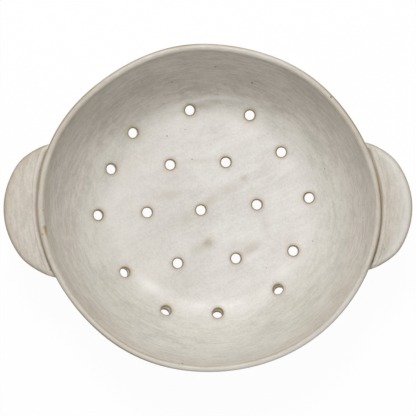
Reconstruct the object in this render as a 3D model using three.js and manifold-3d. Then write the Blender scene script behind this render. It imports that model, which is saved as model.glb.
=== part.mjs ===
// A stoneware fruit bowl with drain holes and two half-moon lugs, in millimetres, +Z up.
// The origin is the middle of the foot's resting plane. The lugs point along +X and -X.
//
// The bowl is one shell of clay. A foot ring and two slab lugs are luted onto it with slip, and
// a thin coil of clay is pressed into the corner above and below each lug.

import * as THREE from "three";
import { mergeVertices } from "three/addons/utils/BufferGeometryUtils.js";
import Module from "manifold-3d";

const wasm = await Module();
wasm.setup();

// Bowl sizes
const MOUTH_RADIUS = 118.8; // inside the lip, before the bowl goes out of round
const FLOOR_RADIUS = 70; // flat part of the floor
const DEPTH = 68; // floor to the springing of the lip
const WALL = 5; // wall and lip
const FLOOR_THICKNESS = 6;
const WALL_SWEEP = 70; // degrees of the quarter ellipse that the wall follows

// Hand-made shape of the mouth
const OVAL = 3; // the mouth is this much wider than its mean radius along the lugs
const OVAL_TURN = -6; // degrees from the lugs to the long axis
const SQUARENESS = 0.5; // four slight corners
const SQUARE_TURN = -10; // degrees from the lugs to the first corner

// Foot ring sizes
const FOOT_RADIUS = 61; // middle of the ring
const FOOT_WIDTH = 7;
const FOOT_HEIGHT = 8; // resting plane to the underside of the floor
const FOOT_EDGE = 1.5; // rounding of the two edges that it stands between
const NOTCHES = 3; // arches that let water out from under the floor
const NOTCH_RADIUS = 6;
const NOTCH_HEIGHT = 4.5;
const NOTCH_BEARING = 90; // degrees, the first notch

// Drain holes
const HOLE_DIAMETER = 7.5;
const PATTERN_CENTRE = new THREE.Vector2(-6, -1.8); // the pattern was punched a little off centre
const UPRIGHT = 0.15; // share of the wall's slope that the punch followed
const SQUARE_ON = 1; // the punch was held square to the wall
// Each hole: bearing in degrees and distance from the pattern's centre, and how the punch was held
const DRAIN_HOLES = [
  [0, 0, UPRIGHT],
  [5.5, 43.5, UPRIGHT],
  [63, 42, UPRIGHT],
  [124.5, 43, UPRIGHT],
  [182.5, 42.5, UPRIGHT],
  [246, 45.5, UPRIGHT],
  [305.5, 46.5, UPRIGHT],
  [6.5, 84.5, UPRIGHT],
  [36, 77, UPRIGHT],
  [63, 83, UPRIGHT],
  [96.5, 78.5, UPRIGHT],
  [131.5, 80.5, UPRIGHT],
  [155.5, 77.5, UPRIGHT],
  [183, 80, UPRIGHT],
  [219, 77.5, SQUARE_ON],
  [250.5, 84, SQUARE_ON],
  [279, 82.5, SQUARE_ON],
  [313, 86, SQUARE_ON],
  [336, 78.5, UPRIGHT],
];

// Lug sizes
const LUG_THICKNESS = 7;
const LUG_EDGE = 2.6; // rounding of the upper and lower edge
const LUG_DROP = 7; // rim to the lug's upper face
const SEAM_UP = 4; // leg on the wall of the coil pressed into each corner
const SEAM_OUT = 5.5; // its leg on the lug
const SEAM_HOLLOW = 0.3; // how far along its legs the middle of its face is pressed in
// Each lug is part of a disc: how far it stands out from the wall, its radius, how far it sits
// off the bowl's long axis, and the fillets where its two ends run into the wall
const LUGS = {
  left: { turn: 180, out: 27.06, radius: 55.2, shift: 0.5, fillets: [4, 1.5] },
  right: { turn: 0, out: 25.26, radius: 53.6, shift: 0.3, fillets: [1.5, 3.5] },
};

const SLIP = 0.3; // layer of slip between luted pieces

// Facets
const TURNS = 64; // around the bowl and the foot
const WALL_STEPS = 10;
const LIP_STEPS = 6;
const HOLE_SIDES = 20;
const NOTCH_SIDES = 24;
const EDGE_STEPS = 3;
const LUG_STEPS = 30;
const FILLET_STEPS = 4;
const SEAM_STEPS = 18;

// Levels and the wall's ellipse, from the sizes above
const RADIANS = Math.PI / 180;
const FLOOR_TOP = FOOT_HEIGHT + FLOOR_THICKNESS;
const SWEEP = WALL_SWEEP * RADIANS;
const ELLIPSE_OUT = (MOUTH_RADIUS - FLOOR_RADIUS) / Math.sin(SWEEP);
const ELLIPSE_UP = DEPTH / (1 - Math.cos(SWEEP));

const GLAZE = new THREE.MeshStandardMaterial({ color: 0xd8d3c9, roughness: 0.6, metalness: 0 });
const BARE_CLAY = new THREE.MeshStandardMaterial({ color: 0xb9a58c, roughness: 0.9, metalness: 0 });

// Closed triangle geometry to a solid, and back
function toSolid(geometry) {
  const bare = geometry.clone();
  bare.deleteAttribute("normal");
  bare.deleteAttribute("uv");
  const merged = mergeVertices(bare, 1e-3);
  return new wasm.Manifold(
    new wasm.Mesh({
      numProp: 3,
      vertProperties: merged.attributes.position.array,
      triVerts: new Uint32Array(merged.index.array),
    }),
  );
}

function toGeometry(solid) {
  const mesh = solid.getMesh();
  const geometry = new THREE.BufferGeometry();
  geometry.setAttribute("position", new THREE.BufferAttribute(mesh.vertProperties, 3));
  geometry.setIndex(new THREE.BufferAttribute(mesh.triVerts, 1));
  geometry.computeVertexNormals();
  return geometry;
}

function named(name, solid, material) {
  const mesh = new THREE.Mesh(toGeometry(solid), material);
  mesh.name = name;
  return mesh;
}

// A closed profile of (radius, height) points turned about +Z
function turned(profile) {
  return new THREE.LatheGeometry(profile, TURNS).rotateX(Math.PI / 2);
}

// A point of the wall's meridian, at the angle u along its quarter ellipse and a depth below the
// inner face: the ellipse's point moved along its outward normal
function wallPoint(u, depth) {
  const along = new THREE.Vector2(ELLIPSE_OUT * Math.cos(u), ELLIPSE_UP * Math.sin(u)).normalize();
  return new THREE.Vector2(
    FLOOR_RADIUS + ELLIPSE_OUT * Math.sin(u) + depth * along.y,
    FLOOR_TOP + ELLIPSE_UP * (1 - Math.cos(u)) - depth * along.x,
  );
}

// The wall thins from the floor's thickness to the lip's
function thickness(u) {
  return THREE.MathUtils.lerp(FLOOR_THICKNESS, WALL, u / SWEEP);
}

function outerPoint(u, clearance) {
  return wallPoint(u, thickness(u) + clearance);
}

function steps(count) {
  return Array.from({ length: count + 1 }, (_, i) => i / count);
}

function polar(radius, bearing) {
  return new THREE.Vector2(radius * Math.cos(bearing), radius * Math.sin(bearing));
}

// How far the mouth stands out of round at a bearing
function outOfRound(bearing) {
  return (
    OVAL * Math.cos(2 * (bearing - OVAL_TURN * RADIANS)) +
    SQUARENESS * Math.cos(4 * (bearing - SQUARE_TURN * RADIANS))
  );
}

// The floor stays round, and the wall takes up the mouth's shape as it rises
function stretched(radius, bearing) {
  const share = THREE.MathUtils.smoothstep(radius, FLOOR_RADIUS, MOUTH_RADIUS);
  return radius + share * outOfRound(bearing);
}

function pushOutOfRound(geometry) {
  const points = geometry.getAttribute("position");
  for (let i = 0; i < points.count; i++) {
    const radius = Math.hypot(points.getX(i), points.getY(i));
    if (radius <= FLOOR_RADIUS) continue;
    const bearing = Math.atan2(points.getY(i), points.getX(i));
    const scale = stretched(radius, bearing) / radius;
    points.setXY(i, points.getX(i) * scale, points.getY(i) * scale);
  }
  return geometry;
}

// The lip is a half round from the inner face to the outer
function lipPoint(turn) {
  const inner = wallPoint(SWEEP, 0);
  const outer = wallPoint(SWEEP, WALL);
  const middle = inner.clone().add(outer).divideScalar(2);
  const across = outer.clone().sub(inner).divideScalar(2);
  const up = new THREE.Vector2(-across.y, across.x);
  return middle
    .addScaledVector(across, -Math.cos(turn))
    .addScaledVector(up, Math.sin(turn));
}

const RIM_TOP = Math.max(...steps(LIP_STEPS).map((share) => lipPoint(share * Math.PI).y));

// The bowl's outside as a full body, with a clearance all round, to fit its neighbours against
function bowlBlank(clearance) {
  const profile = [
    new THREE.Vector2(0, FOOT_HEIGHT - clearance),
    ...steps(WALL_STEPS).map((share) => outerPoint(share * SWEEP, clearance)),
  ];
  const top = RIM_TOP + WALL;
  profile.push(new THREE.Vector2(profile.at(-1).x, top), new THREE.Vector2(0, top));
  return toSolid(pushOutOfRound(turned(profile)));
}

function drainHole([bearing, distance, follow]) {
  const place = polar(distance, bearing * RADIANS).add(PATTERN_CENTRE);
  const up = THREE.MathUtils.clamp((place.length() - FLOOR_RADIUS) / ELLIPSE_OUT, 0, 1);
  const u = Math.asin(up);
  const slope = Math.atan2(ELLIPSE_UP * Math.sin(u), ELLIPSE_OUT * Math.cos(u));
  const half = thickness(u) / 2;
  const mouth = FLOOR_TOP + ELLIPSE_UP * (1 - Math.cos(u));
  const lean = slope * follow;
  return new THREE.CylinderGeometry(HOLE_DIAMETER / 2, HOLE_DIAMETER / 2, 6 * half, HOLE_SIDES)
    .rotateX(Math.PI / 2)
    .translate(0, 0, -half)
    .rotateY(-lean)
    .rotateZ(place.angle())
    .translate(place.x, place.y, mouth);
}

function bowlShell() {
  const rising = steps(WALL_STEPS);
  const falling = [...rising].reverse();
  const lip = steps(LIP_STEPS).slice(1, -1);
  const profile = [
    new THREE.Vector2(0, FOOT_HEIGHT),
    ...rising.map((share) => outerPoint(share * SWEEP, 0)),
    ...lip.map((share) => lipPoint((1 - share) * Math.PI)),
    ...falling.map((share) => wallPoint(share * SWEEP, 0)),
    new THREE.Vector2(0, FLOOR_TOP),
  ];
  const whole = toSolid(pushOutOfRound(turned(profile)));
  return DRAIN_HOLES.reduce((shell, hole) => shell.subtract(toSolid(drainHole(hole))), whole);
}

function footRing() {
  const inside = FOOT_RADIUS - FOOT_WIDTH / 2;
  const outside = FOOT_RADIUS + FOOT_WIDTH / 2;
  const top = FOOT_HEIGHT - SLIP;
  const edge = (centre, from) =>
    steps(EDGE_STEPS).map((share) => {
      const turn = (from + 90 * share) * RADIANS;
      return new THREE.Vector2(
        centre + FOOT_EDGE * Math.cos(turn),
        FOOT_EDGE + FOOT_EDGE * Math.sin(turn),
      );
    });
  const profile = [
    new THREE.Vector2(inside, top),
    ...edge(inside + FOOT_EDGE, 180),
    ...edge(outside - FOOT_EDGE, 270),
    new THREE.Vector2(outside, top),
    new THREE.Vector2(inside, top),
  ];
  const notch = (n) =>
    new THREE.CylinderGeometry(NOTCH_RADIUS, NOTCH_RADIUS, 3 * FOOT_WIDTH, NOTCH_SIDES)
      .rotateZ(Math.PI / 2)
      .translate(FOOT_RADIUS, 0, NOTCH_HEIGHT - NOTCH_RADIUS)
      .rotateZ((NOTCH_BEARING + (360 / NOTCHES) * n) * RADIANS);
  return Array.from({ length: NOTCHES }, (_, n) => toSolid(notch(n))).reduce(
    (ring, arch) => ring.subtract(arch),
    toSolid(turned(profile)),
  );
}

const LUG_TOP = RIM_TOP - LUG_DROP;
const LUG_BOTTOM = LUG_TOP - LUG_THICKNESS;

// Radius of the bowl's outside at a height and bearing
function wallRadius(height, bearing, clearance) {
  let low = 0;
  let high = SWEEP;
  for (let i = 0; i < 40; i++) {
    const middle = (low + high) / 2;
    if (outerPoint(middle, clearance).y < height) low = middle;
    else high = middle;
  }
  return stretched(outerPoint(low, clearance).x, bearing);
}

// One end of a lug, on the side +1 or -1 of its own axis: the fillet's centre, and where it
// leaves the wall and the lug's disc
function lugEnd(lug, side) {
  const level = (LUG_TOP + LUG_BOTTOM) / 2;
  const world = lug.turn * RADIANS;
  const reach = wallRadius(level, world, 0) + lug.out;
  const disc = new THREE.Vector2(reach - lug.radius, lug.shift);
  const fillet = lug.fillets[side > 0 ? 0 : 1];
  const meet = (wall) => {
    const a = wall + fillet;
    const b = lug.radius + fillet;
    const gap = disc.length();
    const turn = Math.acos((a * a + gap * gap - b * b) / (2 * a * gap));
    return polar(a, disc.angle() + side * turn);
  };
  const first = meet(wallRadius(level, world, 0));
  const centre = meet(wallRadius(level, world + first.angle(), 0));
  return {
    disc,
    fillet,
    centre,
    onWall: centre.clone().setLength(centre.length() - fillet),
    onDisc: centre.clone().sub(disc).setLength(lug.radius).add(disc),
  };
}

// Points along the shorter arc about a centre, from one point to another
function arc(centre, from, to, count) {
  const start = from.clone().sub(centre);
  const end = to.clone().sub(centre);
  const sweep = Math.atan2(start.cross(end), start.dot(end));
  return steps(count).map((share) => {
    const bearing = start.angle() + share * sweep;
    return polar(start.length(), bearing).add(centre);
  });
}

// The lug's plan: fillet, disc, fillet, then back through the bowl, where the wall trims it
function lugPlan(lug) {
  const first = lugEnd(lug, -1);
  const last = lugEnd(lug, 1);
  const inward = 1 - (2 * WALL) / MOUTH_RADIUS;
  return new THREE.Shape([
    first.onWall.clone().multiplyScalar(inward),
    ...arc(first.centre, first.onWall, first.onDisc, FILLET_STEPS),
    ...arc(first.disc, first.onDisc, last.onDisc, LUG_STEPS).slice(1, -1),
    ...arc(last.centre, last.onDisc, last.onWall, FILLET_STEPS),
    last.onWall.clone().multiplyScalar(inward),
  ]);
}

function lugSlab(lug) {
  const slab = new THREE.ExtrudeGeometry(lugPlan(lug), {
    depth: LUG_THICKNESS - 2 * LUG_EDGE,
    bevelThickness: LUG_EDGE,
    bevelSize: LUG_EDGE,
    bevelOffset: -LUG_EDGE,
    bevelSegments: EDGE_STEPS,
  })
    .translate(0, 0, LUG_BOTTOM + LUG_EDGE)
    .rotateZ(lug.turn * RADIANS);
  return toSolid(slab).subtract(bowlBlank(SLIP));
}

// A coil pressed into the corner between the wall and one face of a lug: a section with two
// straight legs and a hollow face, carried round the wall. Up is +1 above the lug, -1 below it.
function seamCoil(lug, up) {
  const foot = up > 0 ? LUG_TOP + SLIP : LUG_BOTTOM - SLIP;
  const world = lug.turn * RADIANS;
  const end = (side) => {
    const { onWall, fillet } = lugEnd(lug, side);
    const bearing = Math.atan2(onWall.y, onWall.x);
    return bearing - (side * (SEAM_OUT + fillet)) / onWall.length();
  };
  const section = (share) => {
    const bearing = world + THREE.MathUtils.lerp(end(-1), end(1), share);
    const reach = (height) => wallRadius(height, bearing, SLIP);
    const tip = foot + up * SEAM_UP;
    const hollow = foot + up * SEAM_UP * SEAM_HOLLOW;
    return [
      [reach(foot), foot],
      [reach(foot) + SEAM_OUT, foot],
      [reach(hollow) + SEAM_OUT * SEAM_HOLLOW, hollow],
      [reach(tip), tip],
    ].map(([radius, height]) => [radius * Math.cos(bearing), radius * Math.sin(bearing), height]);
  };
  return toSolid(loft(steps(SEAM_STEPS).map(section), up > 0));
}

// Closed rings of as many points each, joined in order and capped at both ends
function loft(rings, facing) {
  const sides = rings[0].length;
  const triangles = [];
  const quad = (a, b, c, d) => triangles.push([a, b, c], [a, c, d]);
  for (let i = 0; i + 1 < rings.length; i++) {
    for (let j = 0; j < sides; j++) {
      const next = (j + 1) % sides;
      quad(i * sides + j, i * sides + next, (i + 1) * sides + next, (i + 1) * sides + j);
    }
  }
  const last = (rings.length - 1) * sides;
  for (let j = 1; j + 1 < sides; j++) {
    triangles.push([0, j + 1, j], [last, last + j, last + j + 1]);
  }
  const order = facing ? triangles.map(([a, b, c]) => [a, c, b]) : triangles;
  const geometry = new THREE.BufferGeometry();
  geometry.setAttribute("position", new THREE.Float32BufferAttribute(rings.flat(2), 3));
  geometry.setIndex(order.flat());
  return geometry;
}

const bowl = new THREE.Group();
bowl.add(named("bowl_shell", bowlShell(), GLAZE));
bowl.add(named("foot_ring", footRing(), BARE_CLAY));
for (const [side, lug] of Object.entries(LUGS)) {
  bowl.add(named(`${side}_lug`, lugSlab(lug), GLAZE));
  bowl.add(named(`${side}_lug_top_seam`, seamCoil(lug, 1), GLAZE));
  bowl.add(named(`${side}_lug_under_seam`, seamCoil(lug, -1), GLAZE));
}

export default bowl;
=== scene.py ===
# %% [markdown]
# # A stoneware fruit bowl with drain holes
#
# The bowl is a shell of pale clay under a satin white glaze. Two half-moon lugs and a foot ring are
# luted on with slip, and nineteen holes are punched through the floor so that washed fruit can
# drain. This lesson loads the bowl's solids as a fixed frame, lays a finer skin over each one, and
# then works on the two things that make hand-made ware look real: soft uneven form, and a glaze
# that thins to tan wherever it runs off an edge.

import bpy
import numpy as np
from mathutils.geometry import delaunay_2d_cdt
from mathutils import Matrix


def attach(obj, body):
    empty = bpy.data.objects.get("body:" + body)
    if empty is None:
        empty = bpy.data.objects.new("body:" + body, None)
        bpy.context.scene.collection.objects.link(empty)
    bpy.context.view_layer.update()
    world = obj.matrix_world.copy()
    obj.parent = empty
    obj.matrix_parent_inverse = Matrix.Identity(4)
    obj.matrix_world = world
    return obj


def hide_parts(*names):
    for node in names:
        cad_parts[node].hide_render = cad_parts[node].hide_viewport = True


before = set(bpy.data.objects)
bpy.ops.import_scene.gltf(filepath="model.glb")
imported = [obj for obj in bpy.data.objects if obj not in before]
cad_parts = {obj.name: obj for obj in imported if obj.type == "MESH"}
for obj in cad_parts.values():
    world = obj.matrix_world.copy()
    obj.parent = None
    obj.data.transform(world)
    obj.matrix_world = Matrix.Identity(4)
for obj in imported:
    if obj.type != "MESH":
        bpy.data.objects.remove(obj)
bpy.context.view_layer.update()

# %% [markdown]
# ## Sizes
#
# The solids were drawn from a handful of sizes, so the skin is worked out from the same ones. They
# are in millimetres here, and turn into metres only when a mesh is made. The wall follows part of
# an ellipse that starts level at the edge of the floor, and the mouth is a little oval.

# %% Sizes of the solids
MM = 0.001
TURN = 2 * np.pi
MOUTH_RADIUS = 118.8
FLOOR_RADIUS = 70.0
DEPTH = 68.0
WALL = 5.0
FLOOR_THICKNESS = 6.0
FOOT_HEIGHT = 8.0
FLOOR_TOP = FOOT_HEIGHT + FLOOR_THICKNESS
RIM_HEIGHT = 84.0
SWEEP = np.radians(70)
ELLIPSE_OUT = (MOUTH_RADIUS - FLOOR_RADIUS) / np.sin(SWEEP)
ELLIPSE_UP = DEPTH / (1 - np.cos(SWEEP))
OVAL, OVAL_TURN = 3.0, np.radians(-6)
SQUARENESS, SQUARE_TURN = 0.5, np.radians(-10)

HOLE_RADIUS = 3.75
PATTERN_CENTRE = np.array([-6.0, -1.6])
DRAIN_HOLES = np.array([  # bearing, distance from the pattern's centre, shift of the lower mouth in x, y
    [180, 0.4, -0.35, -0.2], [5.5, 43.6, -0.15, -0.3], [63, 42, -0.15, -0.25], [124.5, 43, -0.5, -0.2],
    [182.5, 42.5, -0.5, -0.25], [246, 45.5, -0.5, -0.35], [305.5, 46.5, -0.3, -0.3],
    [6.5, 84.4, 0.8, -0.2], [36, 77, 0.5, 0.05], [63, 83, 0.1, 0.4], [96.5, 78.5, -0.8, 0.2],
    [131.5, 80.3, -1.2, 0.1], [155.5, 77.3, -1.2, -0.5], [182.8, 80.4, -1.3, -0.6],
    [219.1, 76.7, -3.0, -1.9], [250.6, 82.6, -2.9, -5.2], [279, 81.3, -0.9, -4.6],
    [314, 85.8, 1.5, -3.6], [336, 78.5, 0.0, -0.6],
])
print("ellipse half axes:", round(ELLIPSE_OUT, 1), round(ELLIPSE_UP, 1), "holes:", len(DRAIN_HOLES))

# %% [markdown]
# ## Camera
#
# The bowl is seen from straight above, so the camera looks down -Z with +Y at the top of the
# picture. A long lens far away keeps the wall from spreading: the rim plane is 1.1 m below it.

# %% Camera
PICTURE_SIDE = 416
PIXELS_PER_MM_AT_RIM = 1.3605
CAMERA_ABOVE_RIM, CAMERA_ASIDE = 1100.0, -0.9
SENSOR_WIDTH = 36.0

camera = bpy.data.objects.new("camera", bpy.data.cameras.new("camera"))
bpy.context.collection.objects.link(camera)
camera.location = (CAMERA_ASIDE * MM, 0.0, (RIM_HEIGHT + CAMERA_ABOVE_RIM) * MM)
camera.data.sensor_width = SENSOR_WIDTH
camera.data.lens = SENSOR_WIDTH * PIXELS_PER_MM_AT_RIM * CAMERA_ABOVE_RIM / PICTURE_SIDE
camera.data.clip_end = 10.0
bpy.context.scene.camera = camera
print("lens:", round(camera.data.lens, 1), "mm")

# %% [markdown]
# ## Colours and nodes
#
# Colours are written as they are seen, in sRGB hex, and turned to the linear values that shaders
# use. One small function adds a node, sets its sockets and links what feeds them.

# %% Colours


def linear(code, alpha=1.0):
    """The sRGB curve undone: a straight foot below 0.04045, a power of 2.4 above it."""
    srgb = np.array([int(code[i:i + 2], 16) for i in (1, 3, 5)]) / 255
    rgb = np.where(srgb <= 0.04045, srgb / 12.92, ((srgb + 0.055) / 1.055) ** 2.4)
    return (*rgb.tolist(), alpha)


print("white:", linear("#FFFFFF"))

# %% Nodes
# Settings that come up often: a product, a product and a sum, a colour laid over another, a tint of it
MULTIPLY, MULTIPLY_ADD = {"operation": "MULTIPLY"}, {"operation": "MULTIPLY_ADD"}
OVER, TINTED_BY = {"data_type": "RGBA"}, {"data_type": "RGBA", "blend_type": "MULTIPLY"}


def add_node(tree, kind, settings=None, **sockets):
    """A node of that kind. A socket given as a node or one of its outputs is linked, else it is set.
    Sockets go by name, with _ for a space, or by number as i0, i1 and so on."""
    node = tree.nodes.new(kind)
    for name, value in (settings or {}).items():
        setattr(node, name, value)
    for key, value in sockets.items():
        place = int(key[1:]) if key[1:].isdigit() else key.replace("_", " ")
        if isinstance(value, bpy.types.Node):
            value = next(output for output in value.outputs if output.enabled)
        if isinstance(value, bpy.types.NodeSocket):
            tree.links.new(value, node.inputs[place])
        else:
            node.inputs[place].default_value = value
    return node


def new_material(name):
    """An empty node material with its output, and its tree."""
    material = bpy.data.materials.new(name)
    material.use_nodes = True
    material.node_tree.nodes.clear()
    return material, material.node_tree, add_node(material.node_tree, "ShaderNodeOutputMaterial")


def looked_at(tree):
    """1 for the rays that show the stage itself, 0 for those that only carry its light."""
    path = add_node(tree, "ShaderNodeLightPath")
    seen = path.outputs["Is Camera Ray"]
    for ray in ("Is Glossy Ray", "Is Transmission Ray"):
        seen = add_node(tree, "ShaderNodeMath", {"operation": "MAXIMUM"}, i0=seen, i1=path.outputs[ray])
    return seen


print("settings that come up often:", MULTIPLY, MULTIPLY_ADD, OVER, TINTED_BY)

# %% [markdown]
# ## Floor, world and lamp
#
# The ground is plain white, and it also shows through the drain holes, where the bowl shades it. So
# the floor glows white to the camera, and keeps a twenty-fifth of itself as a real matt surface that
# takes the bowl's shadow. One soft lamp, high up behind the bowl, leaves the inside of the back wall
# in shade, as in the picture, and an even sky fills the rest.

# %% Floor
FLOOR_SIDE, FLOOR_DROP = 6000.0, 0.2
GLOW_SHARE = 0.96

# Matt paper gives the eye an even white without a sheen
floor_paper, tree, output = new_material("Matt white paper")
share = add_node(tree, "ShaderNodeMath", MULTIPLY, i0=looked_at(tree), i1=GLOW_SHARE)
matt = add_node(tree, "ShaderNodeBsdfDiffuse", Color=linear("#F4F3F1"))
glow = add_node(tree, "ShaderNodeEmission", Color=linear("#FFFFFF"), Strength=1.0)
mixed = add_node(tree, "ShaderNodeMixShader", i0=share, i1=matt, i2=glow)
tree.links.new(mixed.outputs[0], output.inputs["Surface"])

half = FLOOR_SIDE / 2 * MM
floor_mesh = bpy.data.meshes.new("floor")
corners = [(-half, -half, 0), (half, -half, 0), (half, half, 0), (-half, half, 0)]
floor_mesh.from_pydata(corners, [], [(0, 1, 2, 3)])
floor_mesh.materials.append(floor_paper)
floor = bpy.data.objects.new("floor", floor_mesh)
bpy.context.collection.objects.link(floor)
floor.location.z = -FLOOR_DROP * MM
print("floor:", FLOOR_SIDE, "mm wide, glow", GLOW_SHARE)

# %% Sky
SKY_STRENGTH = 0.445

world = bpy.data.worlds.new("studio")
bpy.context.scene.world = world
world.use_nodes = True
tree = world.node_tree
tree.nodes.clear()
sky = add_node(tree, "ShaderNodeBackground", Color=linear("#F7F7F8"), Strength=SKY_STRENGTH)
backdrop = add_node(tree, "ShaderNodeBackground", Color=linear("#FFFFFF"), Strength=1.0)
mixed = add_node(tree, "ShaderNodeMixShader", i0=looked_at(tree), i1=sky, i2=backdrop)
tree.links.new(mixed.outputs[0], add_node(tree, "ShaderNodeOutputWorld").inputs["Surface"])
print("sky strength:", SKY_STRENGTH)

# %% Lamp
LAMP_PLACE = np.array([-110.0, 780.0, 1492.0])
LAMP_SIDE, LAMP_WATTS = 340.0, 16.85

lamp = bpy.data.objects.new("key", bpy.data.lights.new("key", "AREA"))
bpy.context.collection.objects.link(lamp)
lamp.data.size = LAMP_SIDE * MM
lamp.data.energy = LAMP_WATTS
lamp.location = LAMP_PLACE * MM
aim = np.array([0, 0, RIM_HEIGHT / 2]) - LAMP_PLACE
tip_back, swing = np.arctan2(np.hypot(aim[0], aim[1]), -aim[2]), np.arctan2(aim[1], aim[0])
lamp.rotation_euler = (tip_back, 0, swing - np.pi / 2)
bpy.context.scene.view_settings.view_transform = "Standard"
print("lamp at", [round(v, 2) for v in lamp.location])

# %% [markdown]
# ## The bowl's form
#
# A thrown and pressed bowl has no sharp change anywhere, so one set of formulas serves every part
# of it. A point of the wall is a point of the ellipse moved along its outward normal by a depth
# below the inner face. Going up, the circle is stretched into the mouth's oval.

# %% Wall formulas


def wall_point(u, depth):
    """(radius, height) at angle u of the ellipse, moved out along its normal by depth."""
    along = np.array([ELLIPSE_OUT * np.cos(u), ELLIPSE_UP * np.sin(u)])
    along = along / np.hypot(*along)
    radius = FLOOR_RADIUS + ELLIPSE_OUT * np.sin(u) + depth * along[1]
    height = FLOOR_TOP + ELLIPSE_UP * (1 - np.cos(u)) - depth * along[0]
    return radius, height


def thickness(u):
    """The clay thins evenly from the floor's thickness to the lip's."""
    return FLOOR_THICKNESS + (WALL - FLOOR_THICKNESS) * u / SWEEP


def smooth(low, high, x):
    """0 below low, 1 above high, and the cubic 3t^2 - 2t^3 between them."""
    t = np.clip((x - low) / (high - low), 0, 1)
    return t * t * (3 - 2 * t)


def ridge(x, middle, width):
    """A bell curve: 1 in the middle, a third of that at one width away."""
    return np.exp(-((x - middle) / width) ** 2)


def bell_patch(x, y, place, length, width, slant):
    """A long soft patch: bell curves along and across its slant, which is in degrees."""
    turn = np.radians(slant)
    along = (x - place[0]) * np.cos(turn) + (y - place[1]) * np.sin(turn)
    across = (y - place[1]) * np.cos(turn) - (x - place[0]) * np.sin(turn)
    return ridge(along, 0, length) * ridge(across, 0, width)


def out_of_round(bearing):
    """A two-lobed cosine for the oval, and a small four-lobed one for its corners."""
    oval = OVAL * np.cos(2 * (bearing - OVAL_TURN))
    return oval + SQUARENESS * np.cos(4 * (bearing - SQUARE_TURN))


def stretched(radius, bearing):
    """The floor stays round, and the wall takes up the mouth's shape as it rises."""
    return radius + smooth(FLOOR_RADIUS, MOUTH_RADIUS, radius) * out_of_round(bearing)


# Radius and height of the inner and outer face, as tables to look heights up in
table_u = np.linspace(0, SWEEP, 3000)
INNER = wall_point(table_u, 0)
OUTER = wall_point(table_u, thickness(table_u))
print("rim radius:", np.round(OUTER[0][-1], 1), "heights:", np.round([INNER[1][-1], OUTER[1][-1]], 1))

# %% [markdown]
# The floor is not flat. Fingers wiped it while it was wet, a soft ledge was left where the back wall
# starts, and the clay swells at the front left. These are fractions of a millimetre, but a satin
# glaze shows them, because its sheen follows every slope. Painting them on would look right in one
# light only, so they are part of the surface. The glaze adds a painted highlight along the ledge and
# painted shade just inside it, and painted sheen at the swelling.

# %% Floor relief
WIPE_SLANT = np.radians(27)  # the way the fingers went that wiped the floor
LEDGE_RADIUS, LEDGE_HEIGHT, LEDGE_WIDTH = 85.5, 0.5, 2.2
LEDGE_INWARD, LEDGE_OUTWARD = 0.22, 0.10  # how far it moves per degree, to the left and to the right
LEDGE_GROWS, LEDGE_FADES = (62, 80), (98, 118)  # bearings in degrees
SWELLING, SWELLING_HEIGHT = ((-47.0, -66.0), 14.0, 6.0, -27), 0.6  # place, half length and width, slant


def ledge_line(x, y):
    """The soft ledge that runs along the foot of the back wall: how far inside it a point lies, and
    how strong the ledge is at that bearing."""
    bearing = np.degrees(np.arctan2(y, x))
    to_left, to_right = np.maximum(bearing - 90, 0), np.maximum(90 - bearing, 0)
    middle = LEDGE_RADIUS - LEDGE_INWARD * to_left + LEDGE_OUTWARD * to_right
    return middle - np.hypot(x, y), smooth(*LEDGE_GROWS, bearing) * (1 - smooth(*LEDGE_FADES, bearing))


def relief(x, y):
    """Low ridges left by the fingers that wiped the floor, slanting up to the right: waves across the
    wiping direction, bent by slower waves along it, that swell and fade in patches. They die out
    towards the wall, where a soft ledge runs along the back and a swelling lies at the front left."""
    along = x * np.cos(WIPE_SLANT) + y * np.sin(WIPE_SLANT)
    across = y * np.cos(WIPE_SLANT) - x * np.sin(WIPE_SLANT)
    across = across + 7 * np.sin(along / 33 + 0.4) + 3 * np.sin(along / 14 + across / 23)
    patch = 0.5 + 0.5 * np.sin(along / 19 + across / 15 + 1) * np.sin(across / 24 - along / 37)
    ridges = 0.16 * np.sin(TURN * across / 37 + 0.7)
    ridges = ridges + 0.11 * patch * np.sin(TURN * across / 18 + along / 30)
    ridges = ridges + 0.05 * (1 - patch) * np.sin(TURN * across / 10 + 2 * np.sin(along / 26))
    inward, strength = ledge_line(x, y)
    ledge = LEDGE_HEIGHT * strength * ridge(inward, 0, LEDGE_WIDTH)
    swelling = SWELLING_HEIGHT * bell_patch(x, y, *SWELLING)
    return ridges * (1 - smooth(60, 92, np.hypot(x, y))) + ledge + swelling


def face_height(x, y, face):
    """Height of the inner or outer face over a point of the plan, with the relief on the inner one.
    The stretch is undone by repeated substitution, then the height is read from the face's table."""
    radius, bearing = np.hypot(x, y), np.arctan2(y, x)
    round_radius = radius
    for _ in range(8):
        round_radius = radius - (stretched(round_radius, bearing) - round_radius)
    height = np.interp(round_radius, *face)
    return height + relief(x, y) if face is INNER else height


print("relief at the middle:", round(float(relief(0.0, 0.0)), 2), "mm")

# %% [markdown]
# ## The wall and the lip
#
# The wall is one grid: its profile runs up the inside, over the rolled lip and down the outside, and
# is carried round the bowl. Faint rings from the wheel ripple it, and the lip dips and wavers a little
# as it goes round, because no hand-made rim is level or true.

# %% Wall profile
BEARINGS = 320
bearing = np.arange(BEARINGS) / BEARINGS * TURN - np.pi
SPLIT = np.radians(36)  # where the wall's grid takes over from the floor
INNER_STEPS, LIP_STEPS, OUTER_STEPS = 60, 20, 40


def lip_point(turn):
    """A half round from the inner face to the outer."""
    inner, outer = np.array(wall_point(SWEEP, 0)), np.array(wall_point(SWEEP, WALL))
    across = (outer - inner) / 2
    up = np.array([-across[1], across[0]])
    return ((inner + outer) / 2)[:, None] - across[:, None] * np.cos(turn) + up[:, None] * np.sin(turn)


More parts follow.
